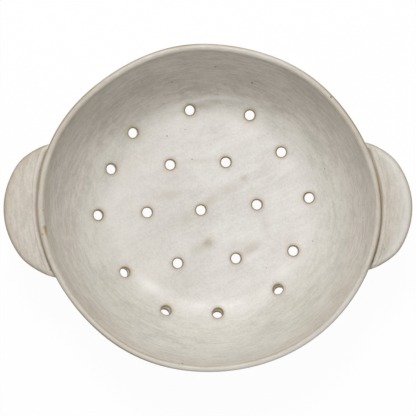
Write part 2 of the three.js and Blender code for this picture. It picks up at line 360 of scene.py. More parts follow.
u_up = np.linspace(SPLIT, SWEEP, INNER_STEPS)
lip_turn = np.linspace(0, np.pi, LIP_STEPS + 2)[1:-1]
u_down = np.linspace(SWEEP, SPLIT, OUTER_STEPS)
profile = np.hstack([wall_point(u_up, 0), lip_point(lip_turn), wall_point(u_down, thickness(u_down))])
run = np.concatenate([[0], np.cumsum(np.hypot(*np.diff(profile)))])
side = np.concatenate([np.full(INNER_STEPS, -1.0), -np.cos(lip_turn), np.full(OUTER_STEPS, 1.0)])
LIP_RUN = np.interp(0.0, side, run)  # where the profile passes over the middle of the lip
print("profile points:", profile.shape[1], "length:", round(run[-1], 1), "lip at", round(LIP_RUN, 1))

# %% Wall grid


def wheel_rings(run, bearing):
    """Ripples along the profile, a few millimetres apart, that wander and fade as they go round."""
    wander = 1.6 * np.sin(bearing + 0.5) + 0.9 * np.sin(3 * bearing + 1)
    fade = 0.55 + 0.45 * np.sin(2 * bearing + run / 7) * np.sin(5 * bearing - run / 11)
    ring = 0.035 * np.sin(TURN * (run + wander) / 9.0) + 0.025 * np.sin(TURN * (run - wander) / 5.3 + 1)
    ends = smooth(0, 14, run) * smooth(0, 14, run.max() - run)
    return fade * ring * ends * smooth(3, 14, np.abs(run - LIP_RUN))


def rim_dip(bearing):
    """How far the rim sinks below its highest point: slow waves, none of them a full millimetre."""
    slow = 0.34 * np.sin(2 * bearing + 0.8) + 0.22 * np.sin(3 * bearing + 2.1)
    return 0.8 + slow + 0.12 * np.sin(5 * bearing)


def rim_waver(bearing):
    """A hand's small wavering of the rim in plan, beyond its oval: slow and quick sines."""
    slow = 0.15 * np.sin(2 * bearing - 1.9) + 0.15 * np.sin(3 * bearing) + 0.1 * np.sin(4 * bearing - 2.2)
    quick = 0.2 * np.sin(5 * bearing - 0.5) + 0.2 * np.sin(6 * bearing + 2) + 0.25 * np.sin(7 * bearing + 1.8)
    return slow + quick + 0.15 * np.sin(8 * bearing) - 0.15


def wall_zone():
    """The profile carried round: rows follow it, columns go round. Each point is pushed out of its
    face by the wheel's rings, and the rim's dip and waver grow with the square of the rise."""
    r, z = profile[0][:, None], profile[1][:, None]
    rise = smooth(z.min(), RIM_HEIGHT, z)
    radius = stretched(r, bearing) + rise ** 2 * rim_waver(bearing)
    radius = radius + np.sign(side)[:, None] * wheel_rings(run[:, None], bearing)
    height = z - rise ** 2 * rim_dip(bearing)
    return np.stack([radius * np.cos(bearing), radius * np.sin(bearing), height], axis=-1)


wall = wall_zone()
print("wall grid:", wall.shape[:2], "top:", round(wall[..., 2].max(), 2))

# %% [markdown]
# ## The drain holes
#
# Each hole is a short tube whose two mouths curl over onto the faces of the floor. Most were punched
# upright. The four at the front were punched square to the sloping wall, so from above their bore
# shows. A hole is a profile (face, curl, bore, curl, face) carried round the punch's axis, and all
# nineteen are worked out at once.

# %% Hole places
punch = np.radians(DRAIN_HOLES[:, 0])
place = PATTERN_CENTRE + DRAIN_HOLES[:, 1:2] * np.stack([np.cos(punch), np.sin(punch)], axis=1)
hole_axis = np.column_stack([DRAIN_HOLES[:, 2:], np.full(len(punch), -FLOOR_THICKNESS)])
hole_axis = hole_axis / np.linalg.norm(hole_axis, axis=1, keepdims=True)
hole_side = np.cross([0, 1, 0], hole_axis)
hole_side = hole_side / np.linalg.norm(hole_side, axis=1, keepdims=True)
hole_tilt = np.cross(hole_axis, hole_side)
hole_mouth = np.column_stack([place, face_height(*place.T, INNER)])
print("lean of the holes:", np.round(np.degrees(np.arccos(-hole_axis[:, 2]))).astype(int).tolist())

# %% Hole tubes
HOLE_SIDES = 40
CURL = 1.05  # radius of the softened mouth
CURL_STEPS, BORE_STEPS = 6, 5
around = np.arange(HOLE_SIDES)[:, None] / HOLE_SIDES * TURN


def ring_on_face(reach, face):
    """Where circles about each punch's axis meet a face: points slide along the axis until their
    height is the face's. Returns (hole, ring, point round it, xyz)."""
    spoke = hole_side[:, None] * np.cos(around) + hole_tilt[:, None] * np.sin(around)
    points = hole_mouth[:, None, None] + reach[:, None, None] * spoke[:, None]
    slide = hole_axis[:, None, None]
    for _ in range(14):
        gap = points[..., 2] - face_height(points[..., 0], points[..., 1], face)
        points = points + 0.85 * gap[..., None] * slide
    return points


def hole_tubes():
    """Curl down from the inner face, bore, curl out onto the outer face."""
    curl = np.linspace(0, np.pi / 2, CURL_STEPS + 1)
    reach, sink = HOLE_RADIUS + CURL * (1 - np.sin(curl)), CURL * (1 - np.cos(curl))
    slide = hole_axis[:, None, None] * sink[:, None, None]
    upper = ring_on_face(reach, INNER) + slide
    lower = (ring_on_face(reach, OUTER) - slide)[:, ::-1]
    part = np.linspace(0, 1, BORE_STEPS + 2)[1:-1, None, None]
    bore = upper[:, -1:] * (1 - part) + lower[:, :1] * part
    return np.concatenate([upper, bore, lower], axis=1)


tubes = hole_tubes()
print("tube grid:", tubes.shape, "lowest:", round(tubes[..., 2].min(), 2))

# %% [markdown]
# ## The floor, inside and out
#
# Between the holes and the wall's lowest row the floor is a free-form sheet. Points are spread evenly
# over it as seeds sit in a sunflower: each a golden angle on from the last, at a distance that
# grows with the square root of its number. A Delaunay triangulation joins them to the rings of the
# holes and to the wall, and the triangles that bridge a hole are dropped.

# %% Floor seeds
GOLDEN_ANGLE = np.pi * (3 - np.sqrt(5))
PACKING = 0.87  # a seed's share of the floor, in squares of the spacing
CLEAR_OF_HOLE, CLEAR_OF_RIM = 0.6, 0.7  # in spacings
INNER_SPACING, OUTER_SPACING = 1.7, 2.8


def floor_seeds(rim_row, mouth_rings, spacing):
    """Seeds of that spacing that keep clear of the holes and of the wall's lowest row."""
    rim_reach = np.hypot(rim_row[:, 0], rim_row[:, 1])
    count = int(np.pi * rim_reach.mean() ** 2 / (PACKING * spacing ** 2))
    seed = np.arange(count) + 0.5
    turn = seed * GOLDEN_ANGLE
    radius = stretched(rim_reach.mean() * np.sqrt(seed / count), turn)
    seeds = np.stack([radius * np.cos(turn), radius * np.sin(turn)], axis=1)
    rim_at = np.interp(np.angle(np.exp(1j * turn)), bearing, rim_reach, period=TURN)
    middle = mouth_rings[..., :2].mean(axis=1)
    wide = np.hypot(*(mouth_rings[..., :2] - middle[:, None]).transpose(2, 0, 1)).max(axis=1)
    far = np.hypot(*(seeds[:, None] - middle).transpose(2, 0, 1))
    keep = (far > wide + CLEAR_OF_HOLE * spacing).all(axis=1) & (radius < rim_at - CLEAR_OF_RIM * spacing)
    return seeds[keep]


print("seeds inside:", len(floor_seeds(wall[0], tubes[:, 0], INNER_SPACING)))

# %% Floor sheets


def floor_sheet(face, rim_row, mouth_rings, spacing):
    """The wall's row, the holes' rings and the seeds as one triangulated sheet, without the triangles
    whose three corners lie on the ring of one hole."""
    rings = mouth_rings.reshape(-1, 3)
    seeds = floor_seeds(rim_row, mouth_rings, spacing)
    points = np.vstack([rim_row, rings, np.column_stack([seeds, face_height(*seeds.T, face)])])
    label = np.full(len(points), -1)
    label[len(rim_row):len(rim_row) + len(rings)] = np.repeat(np.arange(len(mouth_rings)), HOLE_SIDES)
    _, _, triangles, source, _, _ = delaunay_2d_cdt(points[:, :2].tolist(), [], [], 0, 1e-7)
    order = np.array([names[0] for names in source])
    triangles = order[np.array(triangles)]
    hole = label[triangles]
    bridging = (hole[:, 0] >= 0) & (hole[:, 0] == hole[:, 1]) & (hole[:, 1] == hole[:, 2])
    return points, triangles[~bridging]


inner_points, inner_triangles = floor_sheet(INNER, wall[0], tubes[:, 0], INNER_SPACING)
outer_points, outer_triangles = floor_sheet(OUTER, wall[-1], tubes[:, -1], OUTER_SPACING)
print("floor triangles:", len(inner_triangles), "inside and", len(outer_triangles), "outside")

# %% [markdown]
# ## Putting the bowl together
#
# The wall, the tubes and the two floor sheets share their border points by number, so the skin is one
# closed surface with no seam to weld. Each point also carries measures that the glaze will read: how
# bare the clay is there and how much painted shade darkens it, how thick the coat, how far up the
# profile it lies, how much it belongs to the wall rather than the floor, how stained the glaze is and
# how much painted shade lies on it, and how far it has pooled and how much painted highlight lies on it.

# %% Mesh helpers


def grid_faces(rows, columns, ring=False):
    """Quads of a grid of points numbered row by row, the last column joined to the first, and in
    a ring the last row too. They face the way that row crossed with column points."""
    index = np.arange(rows * columns).reshape(rows, columns)
    if ring:
        index = np.vstack([index, index[:1]])
    right = np.roll(index, -1, axis=1)
    return np.stack([index[:-1], index[1:], right[1:], right[:-1]], axis=-1).reshape(-1, 4)


def soundness(points, faces):
    """Triangles, volume from their fans about the origin, and how many edges lack a twin that runs
    back."""
    fans = np.vstack([block[:, [0, i, i + 1]] for block in faces for i in range(1, block.shape[1] - 1)])
    a, b, c = points[fans].transpose(1, 0, 2)
    volume = np.einsum("ij,ij->i", a, np.cross(b, c)).sum() / 6000
    start = np.concatenate([block.ravel() for block in faces])
    end = np.concatenate([np.roll(block, -1, axis=1).ravel() for block in faces])
    lonely = np.setxor1d(start * len(points) + end, end * len(points) + start)
    return f"{len(fans)} triangles, {volume:.1f} cm3, {len(lonely)} open edges"


def make_piece(name, points, faces, **measures):
    """A smooth mesh object from points in millimetres, with one measure per point for the shader."""
    mesh = bpy.data.meshes.new(name)
    mesh.from_pydata((points * MM).tolist(), [], [face for block in faces for face in block.tolist()])
    for key, values in measures.items():
        attribute = mesh.attributes.new(key, "FLOAT", "POINT")
        attribute.data.foreach_set("value", np.ravel(values).astype(np.float32))
    mesh.polygons.foreach_set("use_smooth", np.ones(len(mesh.polygons), bool))
    piece = bpy.data.objects.new(name, mesh)
    bpy.context.collection.objects.link(piece)
    print(name, soundness(points, faces))
    return piece


print("quads in a tube of three rings of eight:", len(grid_faces(3, 8)))

# %% Bowl mesh
holes, tube_rows = tubes.shape[:2]
wall_index = np.arange(wall[..., 0].size).reshape(wall.shape[:2])
tube_index = wall_index.size + np.arange(tubes[..., 0].size).reshape(tubes.shape[:3])
border = BEARINGS + holes * HOLE_SIDES
inner_seeds, outer_seeds = inner_points[border:], outer_points[border:]
seed_index = wall_index.size + tube_index.size + np.arange(len(inner_seeds) + len(outer_seeds))
inner_numbers, outer_numbers = np.split(seed_index, [len(inner_seeds)])
inner_index = np.concatenate([wall_index[0], tube_index[:, 0].ravel(), inner_numbers])
outer_index = np.concatenate([wall_index[-1], tube_index[:, -1].ravel(), outer_numbers])

bowl_points = np.vstack([wall.reshape(-1, 3), tubes.reshape(-1, 3), inner_seeds, outer_seeds])
tube_quads = grid_faces(tube_rows, HOLE_SIDES) + tube_index[:, 0, 0][:, None, None]
bowl_faces = [
    grid_faces(*wall.shape[:2]),
    tube_quads.reshape(-1, 4),
    inner_index[inner_triangles],
    outer_index[outer_triangles[:, ::-1]],
]
print("bowl points:", len(bowl_points))

# %% [markdown]
# ## Where the glaze is thin, pooled or stained, and where light and shade are painted
#
# Molten glaze pulls back from a sharp edge, so clay shows as a thin tan line along both shoulders of
# the lip and as a tan ring round each hole. What runs off an edge gathers beside it as a paler pool.
# Fingers that wiped the wet floor left a few long smudges too, which lie along the same slant as the
# ridges. The same measures also carry painted light and shade: painted shade under the lip, beside
# the lugs and just inside the back ledge, and painted highlights on the front of the lip, across each
# bore, along the ledge and on the front of the floor. All of this could be painted in a shader, but
# the lip and the holes are easy to find while the mesh is made, and hard to find later.

# %% Measures of the lip
LINE_WIDTH = 0.75  # of the tan lines on the lip
LINE_TURNS = np.radians([28, 138])  # where they lie on its half round
LIP_BARE = 0.25  # how much clay shows on the lip between them
BACK_LIP_SHADE = 0.42  # of the painted shade under the lip along the back
RIM_GLAZE = np.array([
    [-180, -135, -110, -90, -70, -45, -20, 0, 45, 75, 90, 105, 135, 160],  # bearings
    [0.25, 0.38, 0.30, 0.30, 0.45, 0.30, 0.10, 0.08, 0.15, 0.05, 0.05, 0.05, 0.10, 0.20],  # tan inner edge
    [0.42, 1.05, 0.65, 0.05, 0.05, 0.05, 0.65, 0.85, 0.80, 0.75, 0.75, 0.75, 0.70, 0.95],  # tan outer edge, partly painted shade of the grooves by the lugs
    [0.00, 0.35, 0.55, 0.60, 0.70, 0.75, 0.20, 0.00, 0.05, 0.30, 0.10, 0.05, 0.00, 0.00],  # pooled on top, with a painted highlight along the front
    [0.40, 0.00, 0.00, 0.00, 0.00, 0.00, 0.00, 0.00, 0.00, 0.50, 0.30, 0.35, 0.50, 0.40],  # pooled inside
    [0.34, 0.12, 0.12, 0.12, 0.16, 0.12, 0.06, 0.08, 0.08, 0.00, 0.00, 0.00, 0.12, 0.38],  # painted shade below it
])
inner_share, outer_share, outer_pool, inner_pool, stain_share = (
    np.interp(np.degrees(bearing), RIM_GLAZE[0], row, period=360) for row in RIM_GLAZE[1:])

on_profile = run[:, None]
lip_start = run[INNER_STEPS - 1]
lip_inner, lip_outer = np.interp(LINE_TURNS, lip_turn, run[INNER_STEPS:INNER_STEPS + LIP_STEPS])
lip_share = 1 - smooth(2.5, 4.0, np.abs(on_profile - LIP_RUN))
inner_line = ridge(on_profile, lip_inner, LINE_WIDTH) * inner_share
# The outer line is tan clay, made wide and strong as painted shade of the grooves by the lugs
outer_line = ridge(on_profile, lip_outer, 1.5 * LINE_WIDTH) * outer_share
wall_bare = inner_line + outer_line + LIP_BARE * lip_share * (1 - 0.4 * outer_pool)
patchy = 0.85 + 0.1 * np.sin(3 * bearing + 1) + 0.14 * np.sin(11 * bearing + 2 * np.sin(4 * bearing))
wall_pool = ridge(on_profile, LIP_RUN + 0.6, 1.6) * outer_pool
wall_pool = wall_pool + ridge(on_profile, lip_inner, 1.2) * inner_pool
# Painted shade under the lip: a narrow line along the back, and a broad band where the table gives it
wall_stain = BACK_LIP_SHADE * ridge(on_profile, lip_start - 2.2, 2.0) * smooth(0.2, 0.7, np.sin(bearing))
wall_stain = wall_stain + ridge(on_profile, lip_start - 6.0, 9.0) * stain_share
print("tan lines", round(lip_inner, 1), "and", round(lip_outer, 1), "mm along the profile")

# %% Measures of the holes
HALO, HALO_FADE = 0.34, 1.3  # clay that shows on the floor round a hole, and how far it fades

tube_row = np.arange(tube_rows)
# The middle of each bore is pale glaze with a painted highlight, and clay shows towards both mouths
bore_glaze_and_highlight = ridge(tube_row, CURL_STEPS + 2, 1.6)
tube_bare = smooth(-1.3, 1.6, np.minimum(tube_row, tube_row[::-1])) * (1 - bore_glaze_and_highlight)
floor_xy = np.vstack([inner_seeds, outer_seeds])[:, :2]
hole_gap = np.hypot(*(floor_xy[:, None] - place).transpose(2, 0, 1)).min(axis=1) - HOLE_RADIUS
bowl_bare = np.concatenate([
    (wall_bare * patchy).ravel(),
    np.broadcast_to(tube_bare[:, None], tubes.shape[:3]).ravel(),
    HALO * np.exp(-np.maximum(hole_gap - CURL, 0) / HALO_FADE),
])
print("bare clay at most", round(bowl_bare.max(), 2), "on", (bowl_bare > 0.5).sum(), "points")

# %% Smudges and pools
SMUDGES = [  # place, half length and width in millimetres, slant in degrees, depth
    ((-0.9, -27.6), 4.8, 3.6, 40, 0.95),
    ((-8.0, -31.8), 7.0, 3.6, 25, 0.32),
    ((27.5, 23.3), 3.4, 2.6, 30, 0.55),
    ((14.0, 14.5), 9.0, 4.0, 32, 0.30),
    ((1.0, 5.5), 9.0, 4.0, 33, 0.42),
    ((32.5, -31.5), 8.0, 3.6, 28, 0.48),
    ((-31.0, 10.0), 11.0, 3.8, 17, 0.24),
    ((-16.5, -8.0), 8.0, 5.5, 40, 0.24),
    ((-8.7, 37.1), 11.0, 1.8, 3, 0.30),
    ((-58.0, 33.0), 12.0, 4.0, 28, 0.12),
    ((-4.8, 78.6), 7.0, 3.0, -5, 0.32),
    ((44.0, -13.0), 9.0, 3.0, 100, 0.26),
    # The last one is painted shade that dims the sheen at the front right
    ((35.0, -69.0), 10.0, 5.0, 25, 0.20),
]
# Painted sheen on the front of the floor, at the swelling and to its right: place, half length and width,
# slant, strength
PAINTED_SHEEN = [((-45.5, -61.5), 9.0, 4.0, -27, 0.7), ((-12.0, -75.5), 13.0, 4.0, -6, 0.4)]
x, y, z = bowl_points.T


def patches(table):
    """The patches of a table over all points of the bowl, one row for each."""
    return np.array([depth * bell_patch(x, y, *patch) for *patch, depth in table])


print("smudges:", patches(SMUDGES).shape, "pools:", patches(PAINTED_SHEEN).shape)

# %% Measures of the floor and the wall
DARKER_SIDE = -np.exp(1j * np.radians(5))  # the way in which the floor gets darker
UNDERSIDE = FLOOR_TOP - 2  # the floor below this height is the outside
COAT_END, COAT_FADE, LIP_COAT = 101.5, 5.0, 0.35  # where the thick coat ends, and the coat on the lip
FLOOR_GREY, LEDGE_SHADE, FRONT_DARKENING = 0.14, 0.14, 0.12
LEDGE_POOL_AND_HIGHLIGHT, BORE_HIGHLIGHT = 0.55, 0.8

plan_radius, plan_bearing = np.hypot(x, y), np.arctan2(y, x)
inward, strength = ledge_line(x, y)
bowl_wall = smooth(75, 98, plan_radius + 10 * np.maximum(y / plan_radius, 0))
bowl_climb = plan_radius.copy()
bowl_climb[wall_index] = on_profile + plan_radius[0]

# The coat ends furthest in at the back, along the edge of the back wall's shade, so the thin coat's pink tint
# there is partly painted shade
coat_edge = COAT_END - 15 * np.sin(plan_bearing) + 2.5 * np.cos(plan_bearing) + 1.7 * np.cos(2 * plan_bearing)
bowl_coat = 1 - smooth(-COAT_FADE, COAT_FADE, plan_radius - coat_edge)
bowl_coat[wall_index] = np.maximum(bowl_coat[wall_index], LIP_COAT * lip_share)

bowl_stain = patches(SMUDGES).max(axis=0)
aside = x * DARKER_SIDE.real + y * DARKER_SIDE.imag
bowl_stain = bowl_stain + FLOOR_GREY * smooth(-40, 80, aside) * (1 - smooth(75, 100, plan_radius))
bowl_stain[z < UNDERSIDE] = 0
# Painted shade just inside the back ledge
bowl_stain = bowl_stain + LEDGE_SHADE * strength * ridge(inward, 3.6, 2.0)
bowl_stain[wall_index] += wall_stain
# The wall made darker towards its front left and front right
front_sides = smooth(0.36, 0.5, -np.sin(plan_bearing) * np.abs(np.cos(plan_bearing)))
bowl_stain = bowl_stain + FRONT_DARKENING * front_sides * smooth(75, 95, plan_radius)

# A painted highlight along the back ledge, where glaze also pools, and painted sheen on the front of the
# floor
bowl_pool = LEDGE_POOL_AND_HIGHLIGHT * strength * ridge(inward, -0.2, 1.5) + patches(PAINTED_SHEEN).sum(axis=0)
bowl_pool[wall_index] += wall_pool
bowl_pool[tube_index] = BORE_HIGHLIGHT * bore_glaze_and_highlight[:, None]

bowl = make_piece("bowl", bowl_points, bowl_faces, bare=bowl_bare, coat=bowl_coat,
                  climb=bowl_climb, wall=bowl_wall, stain=bowl_stain, pool=bowl_pool)

# %% [markdown]
# ## The lugs
#
# Each lug is a half-moon cut from a slab and luted to the wall just under the rim. In plan it is part
# of a disc whose two ends curve into the wall. It could be an extruded outline with a bevel, but
# a bevel leaves flat faces and straight edges. Here a closed section, thumb-rounded at the edge, is
# carried along the outline from one end to the other, so every face has a little crown. Points of a
# plan are complex numbers, x + iy, which makes turning and scaling them a single product.

# %% Lug plan
LUG_TOP, LUG_THICKNESS = 77.0, 7.0
# Plan: the way it faces, reach beyond the wall, disc's radius and shift, fillet and flatness of each end
# Glaze: pale and rubbed edge, painted shade by the wall, slope of the tone to the back
# Coil above it: bead and groove from start to end, and how far from the wall its toe lies
LUGS = {
    "left": {
        "turn": np.pi, "out": 27.06, "radius": 55.2, "shift": 0.5, "fillets": (4.0, 1.5), "flat": (1.0, 2.4),
        "pale": 0.0, "rub": 0.26, "dull": 0.0, "slope": 0.0010,
        "bead": (1.2, 0.0), "groove": (1.25, 1.05), "toe": (6.4, 6.2, 4.9, 5.2, 5.5),
    },
    "right": {
        "turn": 0.0, "out": 25.2, "radius": 53.6, "shift": 0.3, "fillets": (1.5, 3.5), "flat": (1.2, 2.3),
        "pale": 0.9, "rub": 0.03, "dull": 0.12, "slope": -0.0002,
        "bead": (0.2, 0.2), "groove": (0.75, 1.0), "toe": (6.2, 5.8, 5.4, 6.0, 6.6),
    },
}


def wall_radius(height, bearing):
    """Radius of the bowl's outside at a height and bearing, read from the outer face's table."""
    return stretched(np.interp(height, OUTER[1], OUTER[0]), bearing)


def lug_end(lug, sign):
    """Where the fillet at one end is centred, and where it leaves the wall and the disc. The centre
    is a fillet's radius away from both, by the law of cosines."""
    level = LUG_TOP - LUG_THICKNESS / 2
    disc = complex(wall_radius(level, lug["turn"]) + lug["out"] - lug["radius"], lug["shift"])
    end = 0 if sign > 0 else 1
    fillet, reach = lug["fillets"][end], lug["radius"] - lug["flat"][end]

    def meet(wall_at):
        a, b, gap = wall_at + fillet, reach + fillet, abs(disc)
        turn = np.arccos((a * a + gap * gap - b * b) / (2 * a * gap))
        return a * np.exp(1j * (np.angle(disc) + sign * turn))

    first = meet(wall_radius(level, lug["turn"]))
    centre = meet(wall_radius(level, lug["turn"] + np.angle(first)))
    on_wall = centre * (1 - fillet / abs(centre))
    on_disc = disc + (centre - disc) * reach / abs(centre - disc)
    return disc, centre, on_wall, on_disc


print("lugs reach beyond the wall by", [lug["out"] for lug in LUGS.values()], "mm")

# %% Lug outline
LUG_STATIONS = 181


def arc(centre, start, end, count):
    """Points along the shorter arc about a centre, from one point to another."""
    spoke = start - centre
    return centre + spoke * np.exp(1j * np.linspace(0, 1, count) * np.angle((end - centre) / spoke))


def disc_edge(lug, disc, start, end):
    """The disc's edge from one point to another. A hand-cut disc is a little flat towards its two ends
    and full just before them: smooth steps and bell curves on its radius."""
    share = np.linspace(0, 1, 400)
    flat_end, flat_start = lug["flat"]
    reach = lug["radius"] - flat_start * (1 - smooth(0, 0.24, share)) - flat_end * smooth(0.76, 1, share)
    reach = reach + 0.45 * (ridge(share, 0.22, 0.08) + ridge(share, 0.78, 0.08))
    turn = np.angle(start - disc) + share * np.angle((end - disc) / (start - disc))
    return disc + reach * np.exp(1j * turn)


def lug_outline(lug):
    """Fillet, disc and fillet as one path of evenly spread points, before the lug is turned."""
    disc, centre_a, wall_a, disc_a = lug_end(lug, -1)
    _, centre_b, wall_b, disc_b = lug_end(lug, 1)
    path = np.concatenate([
        arc(centre_a, wall_a, disc_a, 40),
        disc_edge(lug, disc, disc_a, disc_b)[1:-1],
        arc(centre_b, disc_b, wall_b, 40),
    ])
    length = np.concatenate([[0], np.cumsum(np.abs(np.diff(path)))])
    even = np.linspace(0, length[-1], LUG_STATIONS)
    return np.interp(even, length, path.real) + 1j * np.interp(even, length, path.imag), even


print("lug outlines in mm:", {name: round(lug_outline(lug)[1][-1], 1) for name, lug in LUGS.items()})

# %% Tubes with capped ends


def capped(rows, columns):
    """Faces of a tube of closed sections, and fans over its first and last section to two extra
    points, numbered after the grid's. They face the way that column crossed with row points."""
    ring = np.arange(columns)
    after = np.roll(ring, -1)
    last = (rows - 1) * columns
    start, end = rows * columns, rows * columns + 1
    fan_a = np.column_stack([np.full(columns, start), after, ring])
    fan_b = np.column_stack([np.full(columns, end), last + ring, last + after])
    return [grid_faces(rows, columns)[:, ::-1], np.vstack([fan_a, fan_b])]


def make_tube(name, grid, measures):
    """A grid of closed sections as a piece, with caps about the middles of its two end sections."""
    points = np.vstack([grid.reshape(-1, 3), grid[0].mean(axis=0), grid[-1].mean(axis=0)])
    reach = np.hypot(points[:, 0], points[:, 1])
    measures = {key: np.append(values, [0, 0]) for key, values in measures.items()}
    return make_piece(name, points, capped(*grid.shape[:2]), climb=reach, wall=0 * reach + 1, **measures)


print("quads and triangles of a tube of three sections of eight:", [len(block) for block in capped(3, 8)])

# %% Lug sections
FACE_STEPS, EDGE_STEPS = 56, 18
EDGE_REACH, EDGE_POWER = 4.2, 0.8  # the thumb-rounding's depth in plan, and how square it is
END_SHARE, END_RUN = 0.45, 16.0  # thickness of the two ends, and the length over which it grows
SKIN_DRAW = 0.3  # how much thinner the skin is than the solid, because its top sags


def lug_sag(lug, share):
    """How far the slab's top lies below its level: two waves along the outline."""
    return 0.25 + 0.2 * np.sin(5 * share + lug["turn"]) + 0.1 * np.sin(17 * share)


def lug_thickness(along, length):
    """The slab thins by more than half towards its two ends, where it was smeared into the wall."""
    growth = smooth(0, END_RUN, np.minimum(along, length - along))
    return (END_SHARE + (1 - END_SHARE) * growth) * (LUG_THICKNESS - SKIN_DRAW)


def coil_toe(lug, share):
    """How far from the wall the coil above the lug ends, read along the lug from a short table."""
    return np.interp(share, np.linspace(0, 1, len(lug["toe"])), lug["toe"])


def lug_section(width):
    """Distances out and shares of the half thickness, along the upper face, round the edge as a squarish
    half ellipse, and back along the lower face."""
    round_off = np.minimum(EDGE_REACH, 0.8 * width)[:, None]
    flat = np.linspace(0, 1, FACE_STEPS)
    curl = np.linspace(np.pi / 2, -np.pi / 2, EDGE_STEPS + 2)[1:-1]
    out = np.concatenate([flat, np.ones(EDGE_STEPS), flat[::-1]]) * (width[:, None] - round_off)
    bulge = np.concatenate([0 * flat, np.cos(curl) ** EDGE_POWER, 0 * flat])
    turned = np.sign(curl) * np.abs(np.sin(curl)) ** EDGE_POWER
    return out + bulge * round_off, np.concatenate([1 + 0 * flat, turned, -1 - 0 * flat])


print("points of a section:", lug_section(np.array([20.0]))[1].size)

# %% Lug slabs
ROOT_DEPTH = 1.8  # how far the slab is pressed into the wall
END_DEPTH = 1.3  # how much deeper its two ends go
SEAM_SINK = 0.58  # how much of its half thickness the slab loses along the wall
COIL_MARGIN, COIL_FADE = 2.0, 9.0  # where the coils start, and over what length they grow
COIL_END = 0.1  # a coil's size at its two ends
LUG_BARE = 0.11  # how much clay shows all over a lug
EDGE_BARE, EDGE_FADE, RUB_FADE = 0.9, 0.9, 8.0  # what shows on its edge, and how far that and the rub fade


def lug_glaze(lug, edge_gap, from_toe, up, ends, y):
    """Clay shows on the edge and fades over the face, and the glaze that left it pools just inside."""
    bare = EDGE_BARE * np.exp(-edge_gap / EDGE_FADE) + lug["rub"] * np.exp(-edge_gap / RUB_FADE)
    bare = bare * (up > -0.9) * (0.5 + 0.5 * smooth(-0.6, 0.4, up)) * (1 - 0.9 * ends)
    # The term by the wall is painted shade on the slab beside the coil's toe
    bare = LUG_BARE + bare + lug["slope"] * y + lug["dull"] * (1 - smooth(2, 9, from_toe))
    pale = lug["pale"] * (up > 0)
    coat = pale * smooth(0.8, 3, edge_gap) * (1 - smooth(7, 13, edge_gap))
    pool = 0.4 * pale * smooth(0.8, 2.5, edge_gap) * (1 - smooth(4, 8, edge_gap))
    return {"bare": bare, "coat": coat, "pool": pool}


def lug_slab(lug):
    """A section at each station from the wall to the outline. The slab sinks along the wall, where the
    coil lies on it, and its two ends run out inside the wall."""
    edge, along = lug_outline(lug)
    share = along / along[-1]
    span = np.angle(edge[-1] / edge[0])
    root_bearing = np.angle(edge[0]) + share * span
    from_end = np.minimum(share, 1 - share) * span * abs(edge[0])
    ends = 1 - smooth(0, 12, np.minimum(along, along[-1] - along))
    edge = edge * (1 - END_DEPTH * ends / np.abs(edge))
    thick = lug_thickness(along, along[-1])
    middle = LUG_TOP - lug_sag(lug, share) - thick / 2
    root = (wall_radius(middle, lug["turn"] + root_bearing) - ROOT_DEPTH) * np.exp(1j * root_bearing)
    width = np.abs(edge - root)
    out, up = lug_section(width)
    growth = COIL_END + (1 - COIL_END) * smooth(COIL_MARGIN, COIL_MARGIN + COIL_FADE, from_end)[:, None]
    from_toe = out - ROOT_DEPTH - coil_toe(lug, share)[:, None] * growth
    crown = 1 - 0.10 * smooth(0.5, 1.0, out / width[:, None])
    crown = crown - SEAM_SINK * growth * (1 - smooth(-1.2, 0.8, from_toe)) * (up > 0)
    height = middle[:, None] + up * crown * thick[:, None] / 2
    plan = root[:, None] + out * ((edge - root) / width)[:, None]
    plan = plan * np.exp(1j * lug["turn"])
    grid = np.stack([plan.real, plan.imag, height], axis=-1)
    return grid, lug_glaze(lug, width[:, None] - out, from_toe, up, ends[:, None], plan.imag)


lug_slabs = {name: make_tube(f"{name}_slab", *lug_slab(lug)) for name, lug in LUGS.items()}

# %% [markdown]
# ## The coils in the corners
#
# To stop a lug from cracking off, a thin coil of clay is pressed into the corner above it and another
# below it. The lower one is drawn along with a finger, which leaves a hollow face. The upper one is
# run along with a wooden tool, which leaves a narrow groove against the wall and a low bead outside
# it. Seen from above, the groove reads as a dark line round the rim and the bead as a pale one, with
# a fine line beyond it where the coil's toe meets the lug. Tan clay and painted shade darken the
# groove further.

# %% Coil face
LOWER_UP, LOWER_OUT, LOWER_SINK = 2.6, 5.4, 0.35  # legs of the coil below the lug, and its depth in it
GROOVE_AT, GROOVE, GROOVE_WIDTH = 1.35, 1.7, 0.8
BEAD_FROM_TOE, BEAD, BEAD_WIDTH = 1.8, 0.4, 1.4
TOE_RUN, TOE_DIVE = 0.8, 0.8  # how far the face goes on beyond its toe, and how far down
COIL_STEPS = 28
COIL_SPREAD = 1 - np.cos(np.linspace(0, np.pi / 2, COIL_STEPS))  # steps away from the wall, as shares


def coil_face(up, lug, share):
    """The coil's face over the lug, as distances from the wall and heights. Below the lug it is
    a hollow quarter of an ellipse. Above it a bell curve down makes the groove and one up makes
    the bead, before the face dives under the lug at its toe."""
    if up < 0:
        hollow = LOWER_UP * (1 - np.sqrt(1 - (1 - COIL_SPREAD) ** 2)) - LOWER_SINK
        return LOWER_OUT * COIL_SPREAD + 0 * share[:, None], hollow + 0 * share[:, None]
    toe = coil_toe(lug, share)[:, None]
    bead, groove = (np.interp(share, [0, 1], lug[name])[:, None] for name in ("bead", "groove"))
    reach = (toe + TOE_RUN) * COIL_SPREAD
    corner = np.exp(-reach / 0.5) - GROOVE * groove * ridge(reach, GROOVE_AT, GROOVE_WIDTH)
    dive = 0.05 + TOE_DIVE * smooth(-0.9, 0.5, reach - toe)
    return reach, corner - dive + BEAD * bead * ridge(reach, toe - BEAD_FROM_TOE, BEAD_WIDTH)


